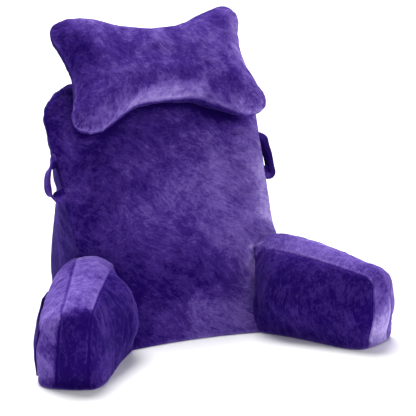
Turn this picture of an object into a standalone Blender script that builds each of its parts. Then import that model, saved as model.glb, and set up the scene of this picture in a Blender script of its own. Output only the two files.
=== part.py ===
"""Reading pillow with two arms, a four-lobed neck pillow, two side handles and an arm pocket.

Metres, +Z up, the seat side faces -Y.  Every piece is one closed cloth shape; pieces stand
GAP apart where they are sewn or pressed together.
"""
import math

import bmesh
import bpy
import numpy as np

GAP = 0.0003                     # play between two pieces that touch

# ---- base seam, shared by the backrest and the arms
BASE_SEAM = 0.003                # height of the rim round the bottom panel
BASE_CURL = 0.007                # how far the bottom panel curls in under that rim

# ---- backrest
SEAM_FOOT_HALF = 0.209           # half width between the side seams at the floor
SEAM_SPREAD = 0.071              # growth of that half width per metre of height
SEAM_FOOT_Y = -0.133             # where the side seam reaches the floor
SEAM_LEAN = 0.60                 # backward run of the side seam per metre of height
BACK_TOP = 0.490                 # height of the top seam
BACK_CORNER = 0.057              # radius of the two top corners
REAR_FOOT_Y = 0.190              # rear seam at the floor
REAR_TOP_Y = 0.222               # rear seam at the top
REAR_INSET = 0.038               # the rear panel is this much narrower each side at the top
SIDE_PUFF = 0.013                # outward swell of the side gussets
TOP_PUFF = 0.014                 # upward swell of the top gusset
REAR_PUFF = 0.034                # backward swell of the rear panel
FOOT_DRAW = 0.023                # the front panel is drawn in at the floor ...
FRONT_PUFF = 0.050               # ... and swells forward higher up

# ---- arms, drawn for the +X side in a frame along the arm
ARM_ROOT = (0.205, -0.060)       # origin of the arm frame in plan
ARM_SPLAY = 28.0                 # degrees the arm turns outward from straight ahead
ARM_BACK = -0.085                # rear end of the arm along its axis
ARM_FRONT = 0.264                # front seam at the floor, along the axis
ARM_FRONT_SWELL = 0.014          # forward swell of the front seam above the floor
ARM_TOP_FRONT = 0.160            # top seam height at the front ...
ARM_TOP_REAR = 0.176             # ... and near the backrest
ARM_TOP_ARCH = 0.011             # rise of the top seam between those two
ARM_CORNER = 0.026               # radius of the top front corner, seen from the side
STRIP_REAR = 0.072               # width of the gusset strip near the backrest ...
STRIP_FRONT = 0.060              # ... and at the front
STRIP_PUFF = 0.011               # swell of the gusset strip
STRIP_TILT = 0.007               # the outer edge of the strip stands this much higher at the rear
STRIP_LEAN = 0.014               # the front foot of the strip stands this far outward
INNER_PUFF = 0.069               # swell of the inner side panel near the backrest ...
INNER_PUFF_FRONT = 0.042         # ... and toward the front
INNER_FOOT = 0.038               # what is left of it at the floor ...
INNER_FOOT_ROOT = 0.048          # ... and at the floor beside the backrest
OUTER_PUFF = 0.061               # swell of the outer side panel ...
OUTER_FOOT = 0.046               # ... and what is left of it at the floor

# ---- neck pillow, drawn in its own leaning plane
NECK_CENTRE = (0.015, 0.133, 0.531)   # a little off centre, as a loose pillow sits
NECK_LEAN = 42.0                 # degrees from upright
NECK_ROLL = 0.6                  # degrees turned in its own plane
NECK_HALF_TOP = 0.230            # half width across the upper lobes
NECK_HALF_LOW = 0.235            # half width across the lower lobes
NECK_REACH_TOP = 0.139           # from the middle up to the seam of the upper lobes
NECK_REACH_LOW = 0.131           # ... and down to the seam of the lower lobes
NECK_WAIST = 0.036               # drawn in at mid height, each end
NECK_DIP = 0.045                 # drawn in at mid width, top edge
NECK_DIP_SHIFT = 0.10            # that dip sits this share of the half width off centre
NECK_RISE = 0.059                # drawn in at mid width, bottom edge
NECK_CORNER = 0.052              # radius of the lobes
NECK_FRONT_PUFF = 0.060          # swell of the front panel ...
NECK_REAR_PUFF = 0.062           # ... and of the rear panel

# ---- handles
STRAP_WIDTH = 0.029
STRAP_THICK = 0.0045
STRAP_REACH = {"handle_left": 0.034, "handle_right": 0.018}   # how far each loop stands out
STRAP_DROOP = 0.012              # how far the loop sags
STRAP_UPPER_Z = 0.369            # heights of the two sewn ends
STRAP_LOWER_Z = 0.304

# ---- pocket on the outer side of the -X arm
POCKET_ROWS = ((8, 17), (2, 9))  # first and last lattice rows along and up the arm panel
POCKET_THICK = 0.003
POCKET_GAPE = 0.005              # how far the open top edge stands off


def spaced(count, pull):
    """Parameters 0..1 with the rows drawn toward both ends."""
    t = np.linspace(0.0, 1.0, count + 1)
    return (1.0 - pull) * t + pull * (0.5 - 0.5 * np.cos(math.pi * t))


def smooth(t):
    """Ease from 0 to 1."""
    t = min(max(t, 0.0), 1.0)
    return t * t * (3.0 - 2.0 * t)


def hump(t, flat, power):
    """0 at t = 0 and t = 1, 1 in the middle; a larger flat keeps it full toward the ends."""
    return max(0.0, 1.0 - abs(2.0 * t - 1.0) ** flat) ** power


def fade(t, flat, power):
    """1 at t = 0, falling to 0 at t = 1."""
    return max(0.0, 1.0 - max(0.0, t) ** flat) ** power


def round_corner(x, z, corner_x, corner_z, radius):
    """Carry the square of side radius beyond a corner centre onto a quarter disc."""
    a = (x - corner_x) / radius
    b = (z - corner_z) / radius
    if a <= 0.0 or b <= 0.0:
        return x, z
    return (corner_x + radius * a * math.sqrt(1.0 - 0.5 * b * b),
            corner_z + radius * b * math.sqrt(1.0 - 0.5 * a * a))


def curl_height(inside):
    """Height of the bottom panel at a distance inside its seam."""
    return BASE_SEAM * (1.0 - min(1.0, max(0.0, inside) / BASE_CURL)) ** 2


def box_surface(rows_a, rows_b, rows_c, place):
    """Closed surface of an a x b x c lattice; place(a, b, c) gives each point."""
    na, nb, nc = len(rows_a) - 1, len(rows_b) - 1, len(rows_c) - 1
    index = {}
    points = []

    def at(i, j, k):
        if (i, j, k) not in index:
            index[(i, j, k)] = len(points)
            points.append(place(float(rows_a[i]), float(rows_b[j]), float(rows_c[k])))
        return index[(i, j, k)]

    faces = []

    def quad(p, q, r, t):
        """Two triangles that share the diagonal p to r."""
        faces.extend(([p, q, r], [p, r, t]))

    for i in range(na):
        for k in range(nc):
            quad(at(i, 0, k), at(i + 1, 0, k), at(i + 1, 0, k + 1), at(i, 0, k + 1))
            quad(at(i, nb, k), at(i, nb, k + 1), at(i + 1, nb, k + 1), at(i + 1, nb, k))
        for j in range(nb):
            quad(at(i, j, 0), at(i, j + 1, 0), at(i + 1, j + 1, 0), at(i + 1, j, 0))
            quad(at(i, j, nc), at(i + 1, j, nc), at(i + 1, j + 1, nc), at(i, j + 1, nc))
    for j in range(nb):
        for k in range(nc):
            quad(at(0, j, k), at(0, j, k + 1), at(0, j + 1, k + 1), at(0, j + 1, k))
            quad(at(na, j, k), at(na, j + 1, k), at(na, j + 1, k + 1), at(na, j, k + 1))
    return points, faces


# ------------------------------------------------------------------ backrest
def seam_half(z):
    """Half width between the two side seams."""
    return SEAM_FOOT_HALF + SEAM_SPREAD * z


def backrest_outline(a, c):
    """Position of lattice parameters on the seam plane: x and z."""
    z = BASE_SEAM + (BACK_TOP - BASE_SEAM) * c
    u = 2.0 * a - 1.0
    half = seam_half(BACK_TOP)
    x, z = round_corner(abs(u) * half, z, half - BACK_CORNER, BACK_TOP - BACK_CORNER, BACK_CORNER)
    return math.copysign(x * seam_half(z) / half, u), z


def front_y(u, c, z):
    """Front panel: leans back, drawn in at the floor, crowned above."""
    low = 1.0 - smooth(z / 0.24)
    high = smooth(z / 0.28) * fade(c, 8.0, 0.65)
    across = 1.0 - u * u
    return (SEAM_FOOT_Y + SEAM_LEAN * z + FOOT_DRAW * low * across ** 1.2
            - FRONT_PUFF * high * across ** 0.7)


def rear_inset(z):
    """How much narrower the rear panel is on each side."""
    return REAR_INSET * smooth((z - 0.08) / 0.24)


def rear_y(a, c, z):
    """Rear panel: near upright, with a shallow crown."""
    swell = REAR_PUFF * hump(a, 2.5, 0.8) * (0.4 + 0.6 * smooth(z / 0.2)) * fade(c, 5.0, 0.7)
    return REAR_FOOT_Y + (REAR_TOP_Y - REAR_FOOT_Y) * z / BACK_TOP + swell


def backrest_point(a, b, c):
    """Backrest skin: a runs across, b front to rear, c floor to top."""
    x, z = backrest_outline(a, c)
    u = 2.0 * a - 1.0
    x *= 1.0 - rear_inset(z) * smooth(b) / seam_half(z)
    near, far = front_y(u, c, z), rear_y(a, c, z)
    y = near + (far - near) * b
    if 0.0 < b < 1.0:
        swell = hump(b, 2.0, 0.75)
        if c == 0.0:
            side = seam_half(z) - rear_inset(z) * smooth(b) - abs(x)
            z = curl_height(min(side, y - near, far - y))
        elif c == 1.0:
            z += TOP_PUFF * swell * hump(a, 4.0, 0.5)
            if a in (0.0, 1.0):
                x += math.copysign(0.5 * SIDE_PUFF * swell, u)
        else:
            x += math.copysign(SIDE_PUFF * swell * (1.0 - 0.5 * c), u)
    return x, y, z


# ------------------------------------------------------------------ arms
def arm_half(s):
    """Half width of the gusset strip along the arm."""
    return 0.5 * (STRIP_REAR + (STRIP_FRONT - STRIP_REAR) * smooth(s / 0.22))


def arm_frame(s, w, z):
    """Arm coordinates, along, outward and up, to the world for the +X arm."""
    turn = math.radians(ARM_SPLAY)
    return (ARM_ROOT[0] + s * math.sin(turn) + w * math.cos(turn),
            ARM_ROOT[1] - s * math.cos(turn) + w * math.sin(turn), z)


def arm_outline(a, c):
    """Side view of the arm: position along and up, and the outward direction at its rim."""
    length, height = ARM_FRONT - ARM_BACK, ARM_TOP_FRONT - BASE_SEAM
    p, q = a * length, c * height
    mid_p, mid_q = length - ARM_CORNER, height - ARM_CORNER
    p, q = round_corner(p, q, mid_p, mid_q, ARM_CORNER)
    out = (1.0, 0.0) if a == 1.0 else (0.0, 1.0)
    if p > mid_p and q > mid_q:
        reach = math.hypot(p - mid_p, q - mid_q)
        out = ((p - mid_p) / reach, (q - mid_q) / reach)
    s = ARM_BACK + p
    top = ARM_TOP_FRONT + (ARM_TOP_REAR - ARM_TOP_FRONT) * (1.0 - smooth((s + 0.02) / 0.26))
    top += ARM_TOP_ARCH * hump((s + 0.04) / 0.30, 2.0, 1.0)
    z = BASE_SEAM + q * (top - BASE_SEAM) / height
    s += ARM_FRONT_SWELL * smooth(q / (0.5 * height)) * a ** 3
    return s, z, out


def side_swell(a, c, foot, full, flat, power, ahead):
    """Swell of a side panel: full at mid height, foot at the floor, none at the strip."""
    up = foot + (full - foot) * smooth(c / 0.45)
    return up * fade(c, flat, power) * fade(a, ahead * (1.0 - 0.44 * smooth(c / 0.4)), 0.62)


def inner_swell(a, c, s):
    """Seat side panel: fullest near the backrest."""
    full = INNER_PUFF + (INNER_PUFF_FRONT - INNER_PUFF) * smooth((s - 0.07) / 0.14)
    foot = INNER_FOOT_ROOT + (INNER_FOOT - INNER_FOOT_ROOT) * smooth(s / 0.11)
    return side_swell(a, c, foot, full * smooth((s + 0.05) / 0.11), 3.0, 0.75, 16.0)


def outer_swell(a, c):
    """Outer side panel."""
    return side_swell(a, c, OUTER_FOOT, OUTER_PUFF, 4.6, 0.62, 24.0) * fade(1.0 - a, 12.0, 0.6)


def arm_point(a, b, c):
    """Arm skin: a runs rear to front, b inner to outer, c floor to top."""
    s, z, out = arm_outline(a, c)
    half = arm_half(s)
    inner = half + inner_swell(a, c, s)
    outer = half + outer_swell(a, c)
    w = -inner + (inner + outer) * b
    w += STRIP_LEAN * (1.0 - z / ARM_TOP_REAR) * smooth(s / 0.26)
    swell = STRIP_PUFF * hump(b, 2.0, 1.0)
    if a == 1.0:
        swell *= 0.35 + 0.65 * smooth(c / 0.35)
    z += STRIP_TILT * (2.0 * b - 1.0) * c * (1.0 - 0.8 * smooth(s / 0.26))
    if a == 1.0 or c == 1.0:
        s += swell * out[0]
        z += swell * out[1]
    if c == 0.0:
        front = 0.35 * swell
        s += front * a ** 3 if a < 1.0 else 0.0
        z = curl_height(min((inner + outer) * min(b, 1.0 - b), (1.0 - a) * (ARM_FRONT - ARM_BACK)))
    return arm_frame(s, w, z)


# ------------------------------------------------------------------ neck pillow
def neck_outline(u, v):
    """In-plane position of lattice parameters -1..1: across and up the leaning plane."""
    half = NECK_HALF_LOW + (NECK_HALF_TOP - NECK_HALF_LOW) * smooth(0.5 * v + 0.5)
    reach = NECK_REACH_TOP if v > 0.0 else NECK_REACH_LOW
    x, t = round_corner(abs(u) * half, abs(v) * reach,
                        half - NECK_CORNER, reach - NECK_CORNER, NECK_CORNER)
    p, q = x / half, t / reach
    x -= p ** 3 * NECK_WAIST * (1.0 - q * q) ** 1.5
    if v > 0.0:
        across = abs(math.copysign(p, u) - NECK_DIP_SHIFT)
        t -= q ** 1.2 * NECK_DIP * (1.0 - smooth((across - 0.08) / 0.72))
    else:
        t -= q ** 1.2 * NECK_RISE * (1.0 - smooth((p - 0.18) / 0.62))
    return math.copysign(x, u), math.copysign(t, v)


def neck_point(u, v, side):
    """Front panel (side -1) or rear panel (side 1) of the neck pillow."""
    x, t = neck_outline(u, v)
    roll, lean = math.radians(NECK_ROLL), math.radians(NECK_LEAN)
    x, t = x * math.cos(roll) - t * math.sin(roll), x * math.sin(roll) + t * math.cos(roll)
    swell = max(0.0, 1.0 - u ** 4) * max(0.0, 1.0 - v ** 4)
    puff = NECK_FRONT_PUFF * swell ** 0.55 if side < 0 else -NECK_REAR_PUFF * swell ** 0.65
    return (NECK_CENTRE[0] + x,
            NECK_CENTRE[1] + t * math.sin(lean) - puff * math.cos(lean),
            NECK_CENTRE[2] + t * math.cos(lean) + puff * math.sin(lean))


def pillow_surface(rows_u, rows_v, place):
    """Two panels joined along one seam; place(u, v, side) gives each point.

    Each cell is split along the diagonal that points at the nearest corner of the seam.
    """
    nu, nv = len(rows_u) - 1, len(rows_v) - 1
    index = {}
    points = []

    def at(i, j, side):
        rim = i in (0, nu) or j in (0, nv)
        key = (i, j, 0 if rim else side)
        if key not in index:
            index[key] = len(points)
            points.append(place(float(rows_u[i]), float(rows_v[j]), side))
        return index[key]

    faces = []
    for i in range(nu):
        for j in range(nv):
            for side in (-1, 1):
                p, q = at(i, j, side), at(i + 1, j, side)
                r, t = at(i + 1, j + 1, side), at(i, j + 1, side)
                if (i < nu / 2) != (j < nv / 2):
                    p, q, r, t = q, r, t, p
                faces.extend(([p, q, r], [p, r, t]))
    return points, faces


# ------------------------------------------------------------------ handles
def seam_point(z):
    """A point of the +X side seam."""
    return np.array([seam_half(z), SEAM_FOOT_Y + SEAM_LEAN * z, z])


def strap_surface(out):
    """A ribbon leaving the side seam, turning edge-on and coming back lower down."""
    along_seam = seam_point(1.0) - seam_point(0.0)
    along_seam /= np.linalg.norm(along_seam)
    upper, lower = seam_point(STRAP_UPPER_Z), seam_point(STRAP_LOWER_Z)
    outward = np.array([1.0, -0.30, 0.0])
    outward /= np.linalg.norm(outward)
    steps = 22
    centres = []
    for n in range(steps + 1):
        t = n / steps
        reach = out * math.sin(math.pi * t ** 1.25) ** 0.85
        slide = t - 0.12 * math.sin(2.0 * math.pi * t)
        sag = np.array([0.0, 0.0, -STRAP_DROOP * math.sin(math.pi * t ** 1.5)])
        centres.append(upper + (lower - upper) * slide + outward * reach + sag)
    centres = np.array(centres)
    tangents = np.gradient(centres, axis=0)
    depth = np.array([0.0, 1.0, 0.0])
    points, faces = [], []
    for n in range(steps + 1):
        t = n / steps
        tangent = tangents[n] / np.linalg.norm(tangents[n])
        turn = smooth(min(t, 1.0 - t) / 0.36)
        width = (1.0 - turn) * along_seam + turn * depth
        width -= tangent * width.dot(tangent)
        width /= np.linalg.norm(width)
        normal = np.cross(tangent, width)
        for p, q in ((-1, -1), (0, -1), (1, -1), (1, 1), (0, 1), (-1, 1)):
            round_in = 0.35 if p else 0.0
            points.append(tuple(centres[n] + width * p * 0.5 * STRAP_WIDTH
                                + normal * q * (0.5 - round_in * 0.5) * STRAP_THICK))
    for n in range(steps):
        for m in range(6):
            k = (m + 1) % 6
            faces.append([n * 6 + m, n * 6 + k, (n + 1) * 6 + k, (n + 1) * 6 + m])
    faces.append(list(range(6)))
    faces.append([steps * 6 + m for m in reversed(range(6))])
    return points, faces


# ------------------------------------------------------------------ pocket
def outer_normal(a, c):
    """Outward direction of the outer arm panel."""
    step = 0.004
    along = np.subtract(arm_point(a + step, 1.0, c), arm_point(a - step, 1.0, c))
    upward = np.subtract(arm_point(a, 1.0, c + step), arm_point(a, 1.0, c - step))
    normal = np.cross(upward, along)
    return normal / np.linalg.norm(normal)


def pocket_surface(rows_a, rows_c):
    """A patch laid on the outer arm panel, sewn on three sides and open at the top."""
    (first_a, last_a), (first_c, last_c) = POCKET_ROWS
    wide, high = last_a - first_a, last_c - first_c
    points = []
    for layer in (0, 1):
        for i in range(wide + 1):
            for k in range(high + 1):
                a, c = float(rows_a[first_a + i]), float(rows_c[first_c + k])
                gape = POCKET_GAPE * hump(i / wide, 2.0, 1.0) * smooth(k / high)
                lift = GAP + gape + layer * POCKET_THICK
                points.append(tuple(arm_point(a, 1.0, c) + outer_normal(a, c) * lift))

    def at(layer, i, k):
        return (layer * (wide + 1) + i) * (high + 1) + k

    faces = []
    for i in range(wide):
        for k in range(high):
            faces.append([at(1, i, k), at(1, i, k + 1), at(1, i + 1, k + 1)])
            faces.append([at(1, i, k), at(1, i + 1, k + 1), at(1, i + 1, k)])
            faces.append([at(0, i, k), at(0, i + 1, k + 1), at(0, i, k + 1)])
            faces.append([at(0, i, k), at(0, i + 1, k), at(0, i + 1, k + 1)])
    rim = ([(i, 0) for i in range(wide)] + [(wide, k) for k in range(high)]
           + [(i, high) for i in range(wide, 0, -1)] + [(0, k) for k in range(high, 0, -1)])
    for here, there in zip(rim, rim[1:] + rim[:1]):
        faces.append([at(0, *here), at(1, *here), at(1, *there), at(0, *there)])
    return points, faces


# ------------------------------------------------------------------ scene
def make_object(name, surface, colour, mirrored=False):
    """One object from points and faces, with its own cloth colour."""
    points, faces = surface
    if mirrored:
        points = [(-x, y, z) for x, y, z in points]
    mesh = bpy.data.meshes.new(name)
    mesh.from_pydata(points, [], faces)
    work = bmesh.new()
    work.from_mesh(mesh)
    bmesh.ops.recalc_face_normals(work, faces=work.faces)
    bmesh.ops.triangulate(work, faces=[f for f in work.faces if len(f.verts) > 4])
    work.to_mesh(mesh)
    work.free()
    item = bpy.data.objects.new(name, mesh)
    bpy.context.scene.collection.objects.link(item)
    if colour is not None:
        material = bpy.data.materials.get(colour[0]) or bpy.data.materials.new(colour[0])
        material.use_nodes = True
        shader = material.node_tree.nodes["Principled BSDF"]
        shader.inputs["Base Color"].default_value = colour[1]
        shader.inputs["Roughness"].default_value = 0.85
        mesh.materials.append(material)
    return item


def grow(item, distance):
    """Push every vertex out along its normal."""
    work = bmesh.new()
    work.from_mesh(item.data)
    work.normal_update()
    moves = [v.normal.copy() * distance for v in work.verts]
    for vert, move in zip(work.verts, moves):
        vert.co += move
    work.to_mesh(item.data)
    work.free()


def cut(item, cutter):
    """Take the cutter out of the item with an exact difference."""
    modifier = item.modifiers.new("cut_" + cutter.name, "BOOLEAN")
    modifier.operation = "DIFFERENCE"
    modifier.solver = "EXACT"
    modifier.object = cutter
    cutter.hide_render = True
    cutter.display_type = "WIRE"


def main():
    for item in list(bpy.data.objects):
        bpy.data.objects.remove(item, do_unlink=True)

    plush = ("plush", (0.145, 0.075, 0.33, 1.0))
    strap = ("strap_plush", (0.12, 0.06, 0.28, 1.0))

    rows_back = (spaced(26, 0.6), spaced(9, 0.75), spaced(22, 0.5))
    make_object("backrest", box_surface(*rows_back, backrest_point), plush)
    rows_room = (rows_back[0], rows_back[1], np.insert(rows_back[2], 0, -0.04))
    cutter = make_object("backrest_room", box_surface(*rows_room, backrest_point), None)
    grow(cutter, GAP * 1.2)

    rows_arm = (spaced(20, 0.6), spaced(9, 0.6), spaced(14, 0.6))
    arm = box_surface(*rows_arm, arm_point)
    for name, mirrored in (("arm_right", False), ("arm_left", True)):
        cut(make_object(name, arm, plush, mirrored), cutter)

    make_object("arm_pocket", pocket_surface(rows_arm[0], rows_arm[2]), plush, True)

    rows_neck = (2.0 * spaced(30, 0.45) - 1.0, 2.0 * spaced(18, 0.45) - 1.0)
    neck = make_object("neck_pillow", pillow_surface(*rows_neck, neck_point), plush)
    cut(neck, cutter)

    for name, mirrored in (("handle_right", False), ("handle_left", True)):
        cut(make_object(name, strap_surface(STRAP_REACH[name]), strap, mirrored), cutter)


main()
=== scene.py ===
"""Reading pillow with arms, a lobed neck pillow, two carry loops and an arm pocket.

Each filled piece is sewn up here as a fine mesh: panels from the pattern sizes, wrinkles from a short
cloth simulation, rounded seams with puckers, lumps of filling, folds where the arms join, and a brushed
nap laid panel by panel, with painted light and shade mixed into it: sides toward the light painted lighter,
painted shade under the neck pillow, painted highlights on crests and a painted sheen toward the outline.
"""
import math

import bmesh
import bpy
import numpy as np
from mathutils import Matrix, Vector, noise
from mathutils.bvhtree import BVHTree
from mathutils.kdtree import KDTree


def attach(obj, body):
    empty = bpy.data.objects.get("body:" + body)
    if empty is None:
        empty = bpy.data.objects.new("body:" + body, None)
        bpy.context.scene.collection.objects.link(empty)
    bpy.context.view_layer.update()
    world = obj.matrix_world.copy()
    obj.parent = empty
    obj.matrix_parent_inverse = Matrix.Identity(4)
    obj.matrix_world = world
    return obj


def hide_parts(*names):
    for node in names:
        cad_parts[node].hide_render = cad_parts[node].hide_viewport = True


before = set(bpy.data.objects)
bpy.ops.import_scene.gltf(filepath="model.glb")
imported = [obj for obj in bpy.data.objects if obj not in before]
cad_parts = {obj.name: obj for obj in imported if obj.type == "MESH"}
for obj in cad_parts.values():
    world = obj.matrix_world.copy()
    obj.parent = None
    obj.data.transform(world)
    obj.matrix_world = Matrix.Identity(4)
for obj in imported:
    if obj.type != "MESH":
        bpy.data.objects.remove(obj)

bl_info = {
    "name": "Reading pillow",
    "version": (1, 0, 0),
    "blender": (4, 5, 0),
    "location": "3D View > Sidebar > Pillow",
    "description": "Sews up a reading pillow with arms over its packed frame",
    "category": "Object",
}

# ---- pattern sizes in metres and degrees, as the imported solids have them
# a pair named FALL, RUN or START says where a curve starts and how far it runs
BASE_SEAM = 0.003
BASE_CURL = 0.007

SEAM_FOOT_HALF = 0.209
SEAM_SPREAD = 0.071
SEAM_FOOT_Y = -0.133
SEAM_LEAN = 0.60
BACK_TOP = 0.490
BACK_CORNER = 0.057
REAR_FOOT_Y = 0.190
REAR_TOP_Y = 0.222
REAR_INSET = 0.038
REAR_INSET_FROM = 0.08
REAR_INSET_RISE = 0.24
SIDE_PUFF = 0.013
TOP_PUFF = 0.014
REAR_PUFF = 0.034
REAR_PUFF_TOP = 0.20
FOOT_DRAW = 0.023
FOOT_DRAW_TOP = 0.24
FRONT_PUFF = 0.050
FRONT_PUFF_TOP = 0.28

ARM_ROOT = (0.205, -0.060)
ARM_SPLAY = 28.0
ARM_BACK = -0.085
ARM_FRONT = 0.264
ARM_FRONT_SWELL = 0.014
ARM_TOP_FRONT = 0.160
ARM_TOP_REAR = 0.176
ARM_TOP_FALL = (-0.02, 0.26)
ARM_TOP_ARCH = 0.011
ARM_ARCH_RUN = (-0.04, 0.30)
ARM_CORNER = 0.026
STRIP_REAR = 0.072
STRIP_FRONT = 0.060
STRIP_PUFF = 0.011
STRIP_TILT = 0.007
STRIP_LEAN = 0.014
STRIP_TAPER = 0.22
STRIP_LEVEL = 0.26
INNER_PUFF = 0.069
INNER_PUFF_FRONT = 0.042
INNER_PUFF_FALL = (0.07, 0.14)
INNER_PUFF_START = (-0.05, 0.11)
INNER_FOOT = 0.038
INNER_FOOT_ROOT = 0.048
INNER_FOOT_FALL = 0.11
OUTER_PUFF = 0.061
OUTER_FOOT = 0.046

NECK_CENTRE = (0.015, 0.133, 0.531)
NECK_LEAN = 42.0
NECK_ROLL = 0.6
NECK_HALF_TOP = 0.230
NECK_HALF_LOW = 0.235
NECK_REACH_TOP = 0.139
NECK_REACH_LOW = 0.131
NECK_WAIST = 0.036
NECK_DIP = 0.045
NECK_DIP_SHIFT = 0.10
NECK_DIP_RUN = (0.08, 0.72)
NECK_RISE = 0.059
NECK_RISE_RUN = (0.18, 0.62)
NECK_CORNER = 0.052
NECK_FRONT_PUFF = 0.060
NECK_REAR_PUFF = 0.062

STRAP_WIDTH = 0.029
STRAP_THICK = 0.0045
STRAP_DROOP = 0.012
STRAP_OUTWARD = (1.0, -0.30, 0.0)
STRAP_UPPER_Z = 0.369
STRAP_LOWER_Z = 0.304

POCKET_ALONG = (0.367, 0.907)
POCKET_UP = (0.087, 0.687)

# ---- sizes of the sewn covers, which are finer than the solids
GAP = 0.0004                     # play between two covers that touch
ARM_JOINT = 0.092                # length of an arm's strip that is hidden in its joint
STRAP_REACH = {"left": 0.038, "right": 0.018}
STRAP_TURN = {"left": 86.0, "right": 58.0}
STRAP_SQUARE = {"left": 0.80, "right": 0.60}
STRAP_ROOT = 0.004               # how far a strap's ends reach in behind the seam
STRAP_SLIDE = 0.12               # how long a strap lingers near each end on its way down
STRAP_TWIST_IN = (0.32, 0.45)    # shares of its length over which it turns, from the upper and lower end
STRAP_RIPPLE = 0.0008            # how far a strap's edges waver out of its plane
STRAP_STITCH = {"at": 0.78, "half": 0.07, "depth": 0.30}
POCKET_GAPE = 0.0025             # how far the pocket's mouth stands off the arm
POCKET_THICK = 0.0022
POCKET_HEM_THICK = 0.0030
STITCH_HALF = 0.0012             # half width of a stitched line on the pocket
SIDE_STITCH = {"from_edge": 0.004, "depth": 0.0008}
HEM_STITCH = {"from_edge": 0.001, "depth": 0.0007}


# ------------------------------------------------------------------ settings
class PillowSizes(bpy.types.PropertyGroup):
    """Sizes of the finish: seams, puckers, lumps and wrinkles."""
    seam_depth: bpy.props.FloatProperty(
        name="Seam depth", description="How deep a seam is drawn in", default=0.0017, unit="LENGTH")
    seam_half: bpy.props.FloatProperty(
        name="Seam half width", description="Half the width of the groove at a seam", default=0.0017,
        unit="LENGTH")
    pucker: bpy.props.FloatProperty(
        name="Pucker height", description="Height of the small gathers along a seam", default=0.0013,
        unit="LENGTH")
    pucker_pitch: bpy.props.FloatProperty(
        name="Pucker pitch", description="Spacing of the gathers", default=0.013, unit="LENGTH")
    pucker_reach: bpy.props.FloatProperty(
        name="Pucker reach", description="How far a gather runs into its panel", default=0.016, unit="LENGTH")
    lump: bpy.props.FloatProperty(
        name="Lump height", description="Height of the soft lumps of filling", default=0.0035, unit="LENGTH")
    lump_pitch: bpy.props.FloatProperty(
        name="Lump size", description="Spacing of the lumps", default=0.085, unit="LENGTH")
    pressure: bpy.props.FloatProperty(
        name="Filling pressure", description="Pressure of the filling in the cloth simulation", default=4.0)
    fullness: bpy.props.FloatProperty(
        name="Cover fullness", description="How much larger the cover is cut than its filling", default=0.022,
        subtype="FACTOR")
    wrinkle: bpy.props.FloatProperty(
        name="Wrinkle limit", description="Largest wrinkle kept from the simulation", default=0.004,
        unit="LENGTH")
    frames: bpy.props.IntProperty(
        name="Simulation frames", description="Length of the cloth simulation", default=14)
    hem: bpy.props.FloatProperty(
        name="Pocket hem", description="Width of the hem at the pocket's mouth", default=0.014, unit="LENGTH")


class PillowColours(bpy.types.PropertyGroup):
    """Colours of the plush, from the nap seen from its tips to the nap seen from its side, picked by a value
    that also holds painted light and shade.
    """
    deep: bpy.props.FloatVectorProperty(
        name="Deep", description="Nap facing the eye", subtype="COLOR", size=4,
        default=(0.011, 0.001, 0.100, 1.0))
    dark: bpy.props.FloatVectorProperty(
        name="Dark", description="Nap a little turned", subtype="COLOR", size=4,
        default=(0.054, 0.022, 0.215, 1.0))
    middle: bpy.props.FloatVectorProperty(
        name="Middle", description="Nap half turned", subtype="COLOR", size=4,
        default=(0.158, 0.098, 0.395, 1.0))
    light: bpy.props.FloatVectorProperty(
        name="Light", description="Nap brushed over", subtype="COLOR", size=4,
        default=(0.345, 0.262, 0.630, 1.0))
    pale: bpy.props.FloatVectorProperty(
        name="Pale", description="Nap lying flat", subtype="COLOR", size=4,
        default=(0.590, 0.485, 0.880, 1.0))
    floor: bpy.props.FloatVectorProperty(
        name="Floor", description="Studio floor", subtype="COLOR", size=4,
        default=(1.0, 1.0, 1.0, 1.0))


# ------------------------------------------------------------------ shared curves
def spaced(count, pull):
    """Parameters 0..1 with the rows drawn toward both ends."""
    t = np.linspace(0.0, 1.0, count + 1)
    return (1.0 - pull) * t + pull * (0.5 - 0.5 * np.cos(math.pi * t))


def smooth(t):
    """Ease from 0 to 1."""
    t = min(max(t, 0.0), 1.0)
    return t * t * (3.0 - 2.0 * t)


def run(at, stretch):
    """Ease from 0 to 1 over a stretch: where it starts and how long it is."""
    return smooth((at - stretch[0]) / stretch[1])


def hump(t, flat, power):
    """0 at t = 0 and t = 1, 1 in the middle."""
    return max(0.0, 1.0 - abs(2.0 * t - 1.0) ** flat) ** power


def fade(t, flat, power):
    """1 at t = 0, falling to 0 at t = 1."""
    return max(0.0, 1.0 - max(0.0, t) ** flat) ** power


def round_corner(x, z, corner_x, corner_z, radius):
    """Carry the square beyond a corner centre onto a quarter disc."""
    a = (x - corner_x) / radius
    b = (z - corner_z) / radius
    if a <= 0.0 or b <= 0.0:
        return x, z
    return (corner_x + radius * a * math.sqrt(1.0 - 0.5 * b * b),
            corner_z + radius * b * math.sqrt(1.0 - 0.5 * a * a))


def curl_height(inside):
    """Height of the bottom panel at a distance inside its seam."""
    return BASE_SEAM * (1.0 - min(1.0, max(0.0, inside) / BASE_CURL)) ** 2


# ------------------------------------------------------------------ pattern of the backrest
def seam_half(z):
    """Half width between the two side seams."""
    return SEAM_FOOT_HALF + SEAM_SPREAD * z


def backrest_outline(a, c):
    """Position of lattice parameters on the seam plane: x and z."""
    z = BASE_SEAM + (BACK_TOP - BASE_SEAM) * c
    u = 2.0 * a - 1.0
    half = seam_half(BACK_TOP)
    x, z = round_corner(abs(u) * half, z, half - BACK_CORNER, BACK_TOP - BACK_CORNER, BACK_CORNER)
    return math.copysign(x * seam_half(z) / half, u), z


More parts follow.
